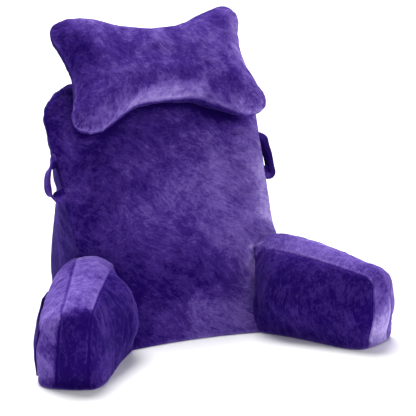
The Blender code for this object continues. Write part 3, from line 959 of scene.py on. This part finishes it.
def finish_named(part):
    """The plush finish of a part, made on first use."""
    name = "plush_" + part
    if name in bpy.data.materials:
        return bpy.data.materials[name]
    group = bpy.data.node_groups.get("brushed_nap_and_sheen") or brushed_nap_and_sheen()
    return plush(name, group, bpy.context.scene.pillow_colours, **PLUSH_FINISHES[part])


# ------------------------------------------------------------------ brush strokes and folds, in world metres; the strokes hold painted light and shade as well as brushed nap
# the backrest is darker to the left and lighter to the right, its right side panel lighter than its left:
# partly brushed nap, partly painted light from the right and painted sheen
BACKREST_NAP_AND_LIGHT = {"b0": 0.25, "b1": 0.21, "floor": 0.15, "a0": 0.18, "a1": 0.28, "c1": 0.20}
BACKREST_STROKES = (
    stroke((-0.24, 0.0, 0.30), (0.15, 0.5, 0.30), -0.14),
    stroke((-0.14, 0.0, 0.06), (0.11, 0.5, 0.12), -0.20),
    stroke((0.03, 0.0, 0.14), (0.10, 0.5, 0.06), -0.13),
    stroke((0.17, 0.0, 0.26), (0.12, 0.5, 0.20), 0.15, ["b0"]),
    # painted shadow of the neck pillow's right lobe on the front panel
    stroke((0.145, 0.0, 0.428), (0.040, 0.5, 0.022), -0.16, ["b0"]),
    stroke((0.26, 0.0, 0.24), (0.07, 0.5, 0.20), 0.30, ["b0"]),
    stroke((0.03, 0.0, 0.03), (0.17, 0.5, 0.05), 0.06),
    stroke((0.06, 0.0, 0.31), (0.12, 0.5, 0.05), 0.05),
    # painted shade in a band under the neck pillow
    stroke((0.04, 0.0, 0.43), (0.18, 0.5, 0.04), -0.08),
    stroke((-0.215, 0.04, 0.30), (0.03, 0.5, 0.02), 0.10),
    stroke((0.15, -0.05, 0.15), (0.05, 0.5, 0.04), 0.08),
)

INNER, OUTER, STRIP = ["b0"], ["b1"], ["c1", "a1"]
# the right arm's inner panel, turned from the light at the right, is dark, and its strip and outer panel,
# turned toward it, light, the strip's lower front lightest: painted light as well as nap
RIGHT_ARM_NAP_AND_LIGHT = {"b0": 0.06, "b1": 0.30, "floor": 0.2, "a0": 0.1, "a1": 0.34, "c1": 0.34}
RIGHT_ARM_STROKES = (
    stroke((0.385, -0.26, 0.045), (0.10, 0.20, 0.050), 0.45, STRIP),
    stroke((0.25, -0.13, 0.18), (0.10, 0.09, 0.05), 0.10, STRIP),
    stroke((0.166, -0.058, 0.170), (0.020, 0.035, 0.026), 0.10),
    stroke((0.19, -0.12, 0.15), (0.022, 0.05, 0.045), 0.07, INNER),
    stroke((0.30, -0.27, 0.13), (0.06, 0.06, 0.020), 0.06, INNER),
    stroke((0.42, -0.27, 0.07), (0.08, 0.08, 0.11), 0.26, OUTER),
)
# the left arm's top, turned up to the light, is light and its front and the top's front end, turned to the
# eye, dark: painted light and painted sheen as well as nap
LEFT_ARM_NAP_AND_LIGHT = {"b0": 0.04, "b1": 0.24, "floor": 0.2, "a0": 0.1, "a1": 0.02, "c1": 0.41}
LEFT_ARM_STROKES = (
    stroke((-0.335, -0.320, 0.150), (0.10, 0.045, 0.04), -0.40, ["c1"]),
    stroke((-0.34, -0.15, 0.17), (0.07, 0.20, 0.040), 0.15, OUTER),
    stroke((-0.38, -0.26, 0.135), (0.05, 0.06, 0.025), 0.12, OUTER),
    stroke((-0.39, -0.22, 0.050), (0.05, 0.09, 0.034), 0.24, OUTER),
    stroke((-0.19, -0.21, 0.100), (0.06, 0.09, 0.050), -0.08, INNER),
    stroke((-0.26, -0.29, 0.025), (0.06, 0.05, 0.035), 0.18, INNER),
    stroke((-0.160, -0.15, 0.07), (0.014, 0.06, 0.07), 0.16, INNER),
)

# the neck pillow's front panel light and its rear panel dark, partly by the nap and partly as painted light
NECK_NAP_AND_LIGHT = {"front": 0.25, "rear": 0.03}
# the neck pillow's front panel is lighter where it faces down: partly nap lying upward, partly painted sheen
NECK_UNDERSIDE = 0.30
POCKET_LAY = 0.04
# a strap is painted lighter on its face turned outward and darker on its inner face: painted light and shade
STRAP_NAP_AND_LIGHT = {"plain": 0.10, "outside": 0.14}
# neck strokes, partly brushed nap and partly painted light and sheen: lighter at the right lobe, the lower
# band and the top edge, darker at the left lobe
NECK_STROKES = (
    stroke((0.00, 0.05, 0.480), (0.13, 0.5, 0.040), 0.20, ["front"]),
    stroke((0.23, 0.05, 0.58), (0.050, 0.5, 0.08), 0.30),
    stroke((-0.19, 0.05, 0.58), (0.08, 0.5, 0.07), -0.15),
    stroke((-0.16, 0.05, 0.45), (0.04, 0.5, 0.03), 0.16),
    stroke((0.20, 0.05, 0.47), (0.05, 0.5, 0.03), 0.12),
    stroke((-0.115, 0.09, 0.60), (0.022, 0.5, 0.045), 0.12),
    stroke((0.02, 0.09, 0.605), (0.020, 0.5, 0.035), 0.12),
    stroke((-0.05, 0.15, 0.645), (0.10, 0.5, 0.030), 0.12),
)

# folds that run from the arms over their joint with the backrest; the last value paints a crest lighter
# (painted highlight) and a trough darker (painted shade)
RIGHT_ROOT_FOLDS = (
    fold((0.186, -0.074, 0.182), (0.140, -0.056, 0.142), 0.0042, 0.0024, 0.26),
    fold((0.184, -0.060, 0.186), (0.142, -0.044, 0.164), 0.0036, 0.0018, 0.22),
    fold((0.184, -0.090, 0.176), (0.150, -0.074, 0.122), 0.0042, 0.0022, 0.24),
    fold((0.166, -0.090, 0.166), (0.143, -0.116, 0.070), 0.0040, 0.0012, 0.09),
    fold((0.174, -0.103, 0.166), (0.142, -0.142, 0.076), 0.0044, 0.0014, 0.11),
    fold((0.186, -0.112, 0.172), (0.149, -0.161, 0.086), 0.0040, 0.0010, 0.09),
    fold((0.194, -0.130, 0.172), (0.164, -0.174, 0.105), 0.0040, 0.0008, 0.06),
)
LEFT_ROOT_FOLDS = (
    fold((-0.175, -0.140, 0.150), (-0.170, -0.187, 0.092), 0.0050, 0.0010, 0.08),
    fold((-0.170, -0.187, 0.092), (-0.161, -0.150, 0.025), 0.0050, 0.0010, 0.08),
    fold((-0.162, -0.120, 0.140), (-0.150, -0.160, 0.085), 0.0050, 0.0012, 0.08),
    fold((-0.178, -0.110, 0.140), (-0.185, -0.170, 0.130), 0.0320, 0.0070),
    fold((-0.283, -0.172, 0.188), (-0.220, -0.154, 0.180), 0.0040, -0.0020, -0.08),
)
# a crease across the right arm's front, painted darker along its trough: painted shade
FRONT_CREASE = fold(arm_frame(0.262, -0.034, 0.088), arm_frame(0.285, 0.030, 0.090), 0.0050, -0.0022, -0.06)
ARM_ROOT_TOP = arm_point(0.26, 0.0, 1.0)
ARMS = (
    {"name": "right", "side": 1.0, "seed": 5.7, "nap_and_light": RIGHT_ARM_NAP_AND_LIGHT, "strokes": RIGHT_ARM_STROKES,
     "folds": RIGHT_ROOT_FOLDS + (FRONT_CREASE,), "soft_spots": ((ARM_ROOT_TOP, 0.048),)},
    {"name": "left", "side": -1.0, "seed": 9.2, "nap_and_light": LEFT_ARM_NAP_AND_LIGHT, "strokes": LEFT_ARM_STROKES,
     "folds": LEFT_ROOT_FOLDS, "soft_spots": ((ARM_ROOT_TOP, 0.036),)},
)
# the backrest's folds, most painted lighter along their crests: painted highlight
BACKREST_FOLDS = RIGHT_ROOT_FOLDS[:3] + (
    fold((0.222, -0.020, 0.200), (0.221, -0.036, 0.165), 0.012, 0.009),
    fold((0.150, -0.062, 0.150), (0.118, -0.062, 0.118), 0.0060, 0.0014, 0.08),
    fold((0.150, -0.070, 0.125), (0.120, -0.084, 0.075), 0.0060, 0.0014, 0.08),
    fold((-0.222, 0.030, 0.300), (-0.170, 0.020, 0.312), 0.0045, 0.0014, 0.10),
    fold((-0.222, 0.024, 0.285), (-0.175, 0.008, 0.285), 0.0045, 0.0014, 0.08),
    fold((-0.230, 0.060, 0.345), (-0.185, 0.048, 0.360), 0.0045, 0.0014, 0.08),
)


# ------------------------------------------------------------------ the pieces
# rows of the mesh along each side of a pattern, and the pull that draws them toward its seams
BACKREST_ROWS = (spaced(110, 0.55), spaced(46, 0.75), spaced(120, 0.45))
ARM_ROWS = (spaced(104, 0.55), spaced(44, 0.7), spaced(62, 0.55))
ARM_COARSE_ROWS = (spaced(40, 0.5), spaced(18, 0.5), spaced(30, 0.5))
NECK_ROWS = (2.0 * spaced(150, 0.5) - 1.0, 2.0 * spaced(92, 0.5) - 1.0)
STRAP_ROWS = {"along": 90, "across": 22}
POCKET_ROWS = {"along": 72, "up": 48}
BACKREST_SEED = 3.1
NECK_SEED = 2.4
# a seam that hardly shows as a groove, and one on the floor that shows none
SOFT_SEAM = {"depth": 0.15, "pucker": 0.7, "line": 0.15}
FOOT_SEAM = {"depth": 0.0, "pucker": 0.8, "line": 0.0, "soft": 0.004}
PATH_STEPS = np.linspace(0.0, 1.0, 160)


def backrest_seams():
    """Side and top seams front and rear, and the base seam round the foot."""
    t, rows = PATH_STEPS, []
    for b in (0.0, 1.0):
        for a in (0.0, 1.0):
            rows.append(seam([backrest_point(a, b, c) for c in t], soft=0.020, **SOFT_SEAM))
        rows.append(seam([backrest_point(a, b, 1.0) for a in t], soft=0.016, **SOFT_SEAM))
    foot = ([backrest_point(a, 0.0, 0.0) for a in t] + [backrest_point(1.0, b, 0.0) for b in t]
            + [backrest_point(1.0 - a, 1.0, 0.0) for a in t] + [backrest_point(0.0, 1.0 - b, 0.0) for b in t])
    rows.append(seam(foot, **FOOT_SEAM))
    return rows


def arm_seams():
    """The two strip seams, over the top and down the front, and the base seam."""
    t, rows = PATH_STEPS, []
    for b in (0.0, 1.0):
        path = [arm_point(a, b, 1.0) for a in t] + [arm_point(1.0, b, 1.0 - c) for c in t]
        rows.append(seam(path, soft=0.008, start=ARM_JOINT))
    foot = ([arm_point(a, 0.0, 0.0) for a in t] + [arm_point(1.0, b, 0.0) for b in t]
            + [arm_point(1.0 - a, 1.0, 0.0) for a in t])
    rows.append(seam(foot, **FOOT_SEAM))
    return rows


def neck_seams():
    """The one seam round the neck pillow, gathered at the lobes, most at the lower ones."""
    t = np.linspace(-1.0, 1.0, 200)
    path = ([neck_point(u, -1.0, -1) for u in t] + [neck_point(1.0, v, -1) for v in t]
            + [neck_point(-u, 1.0, -1) for u in t] + [neck_point(-1.0, -v, -1) for v in t])
    gathers = [{"at": neck_point(u, v, -1), "radius": radius, "strength": strength}
               for v, radius, strength in ((-0.96, 0.050, 2.0), (0.96, 0.040, 0.5)) for u in (-0.85, 0.85)]
    return [seam(path, soft=0.006, depth=0.8, gathers=gathers)]


class PILLOW_OT_backrest(bpy.types.Operator):
    """Sew the backrest"""
    bl_idname = "pillow.backrest"
    bl_label = "Backrest"

    def execute(self, context):
        sizes = context.scene.pillow_sizes
        points, faces, panels = box_skin(*BACKREST_ROWS, backrest_point)
        points, marks = sew(points, faces, backrest_seams(), BACKREST_FOLDS, BACKREST_SEED, sizes)
        arm, shell, _ = box_skin(*ARM_COARSE_ROWS, arm_point)
        arms = [tree_of(arm * np.array((side, 1.0, 1.0)), shell) for side in (1.0, -1.0)]
        points = draw_in(points, faces, arms)
        item = new_object("backrest_cover", points, faces)
        nap_and_light = nap_with_painted_light(points, faces, panels, BACKREST_NAP_AND_LIGHT, BACKREST_STROKES, BACKREST_FOLDS, marks,
                      BACKREST_SEED)
        mark(item, points, nap_and_light)
        finish_piece(item, "backrest", finish_named("backrest"))
        return {"FINISHED"}


class PILLOW_OT_arms(bpy.types.Operator):
    """Sew the two arms against the backrest"""
    bl_idname = "pillow.arms"
    bl_label = "Arms"

    def execute(self, context):
        sizes = context.scene.pillow_sizes
        plain, faces, panels = box_skin(*ARM_ROWS, arm_point)
        back = tree_of_item(context.scene.objects["backrest_cover"])
        for arm in ARMS:
            mirror = np.array((arm["side"], 1.0, 1.0))
            shell = faces if arm["side"] > 0.0 else faces[:, ::-1]
            seams = [{**row, "path": row["path"] * mirror} for row in arm_seams()]
            soft_spots = [(np.array(at) * mirror, radius) for at, radius in arm["soft_spots"]]
            points, marks = sew(plain * mirror, shell, seams, arm["folds"], arm["seed"], sizes, soft_spots)
            points = draw_in(points, shell, [back])
            item = new_object("arm_%s_cover" % arm["name"], points, shell)
            cut_away(item)
            nap_and_light = nap_with_painted_light(points, shell, panels, arm["nap_and_light"], arm["strokes"], arm["folds"], marks, arm["seed"],
                          soft_spots)
            mark(item, points, nap_and_light)
            finish_piece(item, "arm_" + arm["name"], finish_named("arms"))
        return {"FINISHED"}


class PILLOW_OT_neck(bpy.types.Operator):
    """Sew the neck pillow, rest it on the backrest and darken the backrest under it with painted shade"""
    bl_idname = "pillow.neck"
    bl_label = "Neck pillow"

    def execute(self, context):
        sizes = context.scene.pillow_sizes
        points, faces, panels = pillow_skin(*NECK_ROWS, neck_point)
        points, marks = sew(points, faces, neck_seams(), (), NECK_SEED, sizes)
        item = new_object("neck_cover", points, faces)
        cut_away(item)
        nap_and_light = nap_with_painted_light(points, faces, panels, NECK_NAP_AND_LIGHT, NECK_STROKES, (), marks, NECK_SEED)
        # lighter where the front panel faces down: partly nap lying upward, partly painted sheen
        nap_and_light += NECK_UNDERSIDE * (panels == "front") * np.clip(-skin_normals(points, faces)[:, 2], 0.0, 1.0)
        mark(item, points, nap_and_light)
        finish_piece(item, "neck_pillow", finish_named("neck"))
        # painted shade on the backrest under the neck pillow
        paint_shade_under(context.scene.objects["backrest_cover"], tree_of(points, faces))
        return {"FINISHED"}


def unit(vector):
    """The direction of a vector."""
    return vector / np.linalg.norm(vector)


def seam_point(z):
    """A point of the +X side seam."""
    return np.array([seam_half(z), SEAM_FOOT_Y + SEAM_LEAN * z, z])


def strap_section(count):
    """Closed section of a folded strap: rounded edges and a stitched groove near each, in unit sizes."""
    half = []
    for k in range(count + 1):
        p = -1.0 + 2.0 * k / count
        edge = (1.0 - abs(p) ** 10) ** 0.5
        away = (abs(p) - STRAP_STITCH["at"]) / STRAP_STITCH["half"]
        groove = STRAP_STITCH["depth"] * math.exp(-away ** 2)
        half.append((p, edge * (1.0 - groove)))
    return [(p, -t) for p, t in half] + [(p, t) for p, t in reversed(half[1:-1])]


def strap_skin(name):
    """A strap leaving the side seam flat, turning edge-on, and coming back flat lower down."""
    upper, lower = seam_point(STRAP_UPPER_Z), seam_point(STRAP_LOWER_Z)
    outward = unit(np.array(STRAP_OUTWARD))
    across = np.cross(unit(seam_point(1.0) - seam_point(0.0)), outward)
    steps, section = STRAP_ROWS["along"], strap_section(STRAP_ROWS["across"])
    centres = []
    for n in range(steps + 1):
        t = n / steps
        reach = STRAP_REACH[name] * math.sin(math.pi * t ** 1.25) ** STRAP_SQUARE[name]
        slide = t - STRAP_SLIDE * math.sin(2.0 * math.pi * t)
        sag = np.array([0.0, 0.0, -STRAP_DROOP * math.sin(math.pi * t ** 1.5)])
        centres.append(upper + (lower - upper) * slide + outward * (reach - STRAP_ROOT) + sag)
    centres = np.array(centres)
    tangents = np.gradient(centres, axis=0)
    points, faces, nap_and_light = [], [], []
    for n in range(steps + 1):
        t = n / steps
        tangent = unit(tangents[n])
        away = unit(centres[n] - 0.5 * (upper + lower))
        flat = np.cross(across, tangent)
        turn = math.radians(STRAP_TURN[name])
        turn *= smooth(t / STRAP_TWIST_IN[0]) * smooth((1.0 - t) / STRAP_TWIST_IN[1])
        width = math.cos(turn) * flat / np.linalg.norm(flat) + math.sin(turn) * across
        width = unit(width - tangent * width.dot(tangent))
        normal = np.cross(tangent, width)
        ripple = STRAP_RIPPLE * noise.noise(Vector((n / 7.0, STRAP_REACH[name] * 90.0, 0.0)))
        for p, q in section:
            shift = width * p * 0.5 * STRAP_WIDTH + normal * (0.5 * q * STRAP_THICK + ripple * p)
            points.append(centres[n] + shift)
            # painted light: lighter where the strap's face turns outward, painted shade on its inner face
            nap_and_light.append(STRAP_NAP_AND_LIGHT["plain"] + STRAP_NAP_AND_LIGHT["outside"] * away.dot(shift) / np.linalg.norm(shift))
    around = len(section)
    for n in range(steps):
        for m in range(around):
            k = (m + 1) % around
            faces.append((n * around + m, n * around + k, (n + 1) * around + k, (n + 1) * around + m))
    for ring in (0, steps):
        points.append(centres[ring])
        nap_and_light.append(0.0)
        hub = len(points) - 1
        for m in range(around):
            pair = (ring * around + m, ring * around + (m + 1) % around)
            faces.append((hub, *pair) if ring else (hub, *pair[::-1]))
    return points, faces, nap_and_light


class PILLOW_OT_loops(bpy.types.Operator):
    """Sew a carry loop into each side seam"""
    bl_idname = "pillow.loops"
    bl_label = "Carry loops"

    def execute(self, context):
        for side, name in ((1.0, "right"), (-1.0, "left")):
            points, faces, nap_and_light = strap_skin(name)
            points = np.array(points) * np.array((side, 1.0, 1.0))
            item = new_object("loop_" + name, points, faces)
            cut_away(item)
            mark(item, points, nap_and_light)
            finish_piece(item, "handle_" + name, finish_named("strap"))
        return {"FINISHED"}


POCKET_FLAT = ((POCKET_ALONG[1] - POCKET_ALONG[0]) * (ARM_FRONT - ARM_BACK),
               (POCKET_UP[1] - POCKET_UP[0]) * (ARM_TOP_FRONT - BASE_SEAM))


def stitched(away, depth):
    """How far a line of stitches sinks the cloth at a distance from it."""
    return depth * math.exp(-(away / STITCH_HALF) ** 2)


def pocket_skin(tree, hem):
    """The pocket's cloth, laid on the outer panel of the -X arm and open at its top edge."""
    width, height = POCKET_FLAT
    wide, high = POCKET_ROWS["along"], POCKET_ROWS["up"]
    under, over = [], []
    for i in range(wide + 1):
        for k in range(high + 1):
            p, q = i / wide, k / high
            a = POCKET_ALONG[0] + (POCKET_ALONG[1] - POCKET_ALONG[0]) * p
            c = POCKET_UP[0] + (POCKET_UP[1] - POCKET_UP[0]) * q
            x, y, z = arm_point(a, 1.0, c)
            place, normal, _, _ = tree.find_nearest(Vector((-x, y, z)))
            edge = min(p * width, (1.0 - p) * width, q * height)
            below = (1.0 - q) * height
            gape = POCKET_GAPE * hump(p, 2.0, 1.0) * smooth(q) * (1.0 + 0.35 * math.sin(7.0 * p))
            thick = POCKET_HEM_THICK if below < hem else POCKET_THICK
            thick -= stitched(edge - SIDE_STITCH["from_edge"], SIDE_STITCH["depth"])
            thick -= stitched(below - hem + HEM_STITCH["from_edge"], HEM_STITCH["depth"])
            under.append(tuple(place + normal * (GAP + gape)))
            over.append(tuple(place + normal * (GAP + gape + thick)))
    count = len(under)
    faces = []
    for i in range(wide):
        for k in range(high):
            m = i * (high + 1) + k
            quad = (m, m + high + 1, m + high + 2, m + 1)
            faces.append(quad)
            faces.append(tuple(count + v for v in reversed(quad)))
    rim = ([(i, 0) for i in range(wide)] + [(wide, k) for k in range(high)]
           + [(i, high) for i in range(wide, 0, -1)] + [(0, k) for k in range(high, 0, -1)])
    rim = [i * (high + 1) + k for i, k in rim]
    for here, there in zip(rim, rim[1:] + rim[:1]):
        faces.append((here, count + here, count + there, there))
    return np.array(under + over), faces


class PILLOW_OT_pocket(bpy.types.Operator):
    """Sew the pocket on the outer side of the -X arm"""
    bl_idname = "pillow.pocket"
    bl_label = "Pocket"

    def execute(self, context):
        tree = tree_of_item(context.scene.objects["arm_left_cover"])
        points, faces = pocket_skin(tree, context.scene.pillow_sizes.hem)
        item = new_object("pocket_patch", points, faces)
        mark(item, points, np.full(len(points), POCKET_LAY))
        finish_piece(item, "arm_pocket", finish_named("pocket"))
        return {"FINISHED"}


# ------------------------------------------------------------------ stage
CAMERA_AT = (-1.7986, -4.4152, 1.6642)
CAMERA_ALONG = (0.3748, 0.8831, -0.2823)
CAMERA_LENS = 202.76
FLOOR_REACH = 12.0
SKY_STRENGTH = 0.40
# the way toward each light, its spread in degrees and its strength
LIGHTS = {
    "back_light": ((0.0, 0.39, 0.92), 40.0, 4.2),
    "side_light": ((0.66, -0.66, 0.36), 30.0, 0.85),
}


class PILLOW_OT_stage(bpy.types.Operator):
    """Set the floor, the soft studio light and the camera"""
    bl_idname = "pillow.stage"
    bl_label = "Stage"

    def execute(self, context):
        scene = context.scene
        colours = scene.pillow_colours
        mesh = bpy.data.meshes.new("studio_floor")
        corners = [(x * FLOOR_REACH, y * FLOOR_REACH, 0.0) for x, y in ((-1, -1), (1, -1), (1, 1), (-1, 1))]
        mesh.from_pydata(corners, [], [(0, 1, 2, 3)])
        floor = bpy.data.objects.new("studio_floor", mesh)
        scene.collection.objects.link(floor)
        material = bpy.data.materials.new("studio_floor")
        material.use_nodes = True
        shader = material.node_tree.nodes["Principled BSDF"]
        shader.inputs["Base Color"].default_value = colours.floor
        shader.inputs["Roughness"].default_value = 1.0
        shader.inputs["Specular IOR Level"].default_value = 0.0
        mesh.materials.append(material)

        world = bpy.data.worlds.new("studio_world")
        world.use_nodes = True
        back = world.node_tree.nodes["Background"]
        back.inputs["Color"].default_value = (1.0, 1.0, 1.0, 1.0)
        back.inputs["Strength"].default_value = SKY_STRENGTH
        scene.world = world

        for name, (toward, spread, strength) in LIGHTS.items():
            lamp = bpy.data.lights.new(name, "SUN")
            lamp.angle = math.radians(spread)
            lamp.energy = strength
            light = bpy.data.objects.new(name, lamp)
            light.rotation_euler = Vector(toward).to_track_quat("Z", "Y").to_euler()
            scene.collection.objects.link(light)

        lens = bpy.data.cameras.new("photo_camera")
        lens.sensor_width = 36.0
        lens.lens = CAMERA_LENS
        lens.clip_end = 60.0
        camera = bpy.data.objects.new("photo_camera", lens)
        camera.location = CAMERA_AT
        camera.rotation_euler = Vector(CAMERA_ALONG).to_track_quat("-Z", "Y").to_euler()
        scene.collection.objects.link(camera)
        scene.camera = camera
        scene.view_settings.view_transform = "Standard"
        scene.view_settings.look = "None"
        return {"FINISHED"}


class PILLOW_PT_panel(bpy.types.Panel):
    """Sizes, colours and pieces of the reading pillow"""
    bl_idname = "PILLOW_PT_panel"
    bl_label = "Reading pillow"
    bl_space_type = "VIEW_3D"
    bl_region_type = "UI"
    bl_category = "Pillow"

    def draw(self, context):
        layout = self.layout
        for group in (context.scene.pillow_sizes, context.scene.pillow_colours):
            box = layout.box()
            for key in group.__annotations__:
                box.prop(group, key)
        for operator in OPERATORS:
            layout.operator(operator.bl_idname)


OPERATORS = (PILLOW_OT_backrest, PILLOW_OT_arms, PILLOW_OT_neck, PILLOW_OT_loops, PILLOW_OT_pocket,
             PILLOW_OT_stage)
CLASSES = (PillowSizes, PillowColours, *OPERATORS, PILLOW_PT_panel)


def register():
    for item in CLASSES:
        bpy.utils.register_class(item)
    bpy.types.Scene.pillow_sizes = bpy.props.PointerProperty(type=PillowSizes)
    bpy.types.Scene.pillow_colours = bpy.props.PointerProperty(type=PillowColours)


def unregister():
    del bpy.types.Scene.pillow_colours
    del bpy.types.Scene.pillow_sizes
    for item in reversed(CLASSES):
        bpy.utils.unregister_class(item)


def main():
    register()
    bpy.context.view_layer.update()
    bpy.ops.pillow.backrest()
    bpy.ops.pillow.arms()
    bpy.ops.pillow.neck()
    bpy.ops.pillow.loops()
    bpy.ops.pillow.pocket()
    bpy.ops.pillow.stage()


if __name__ == "__main__":
    main()
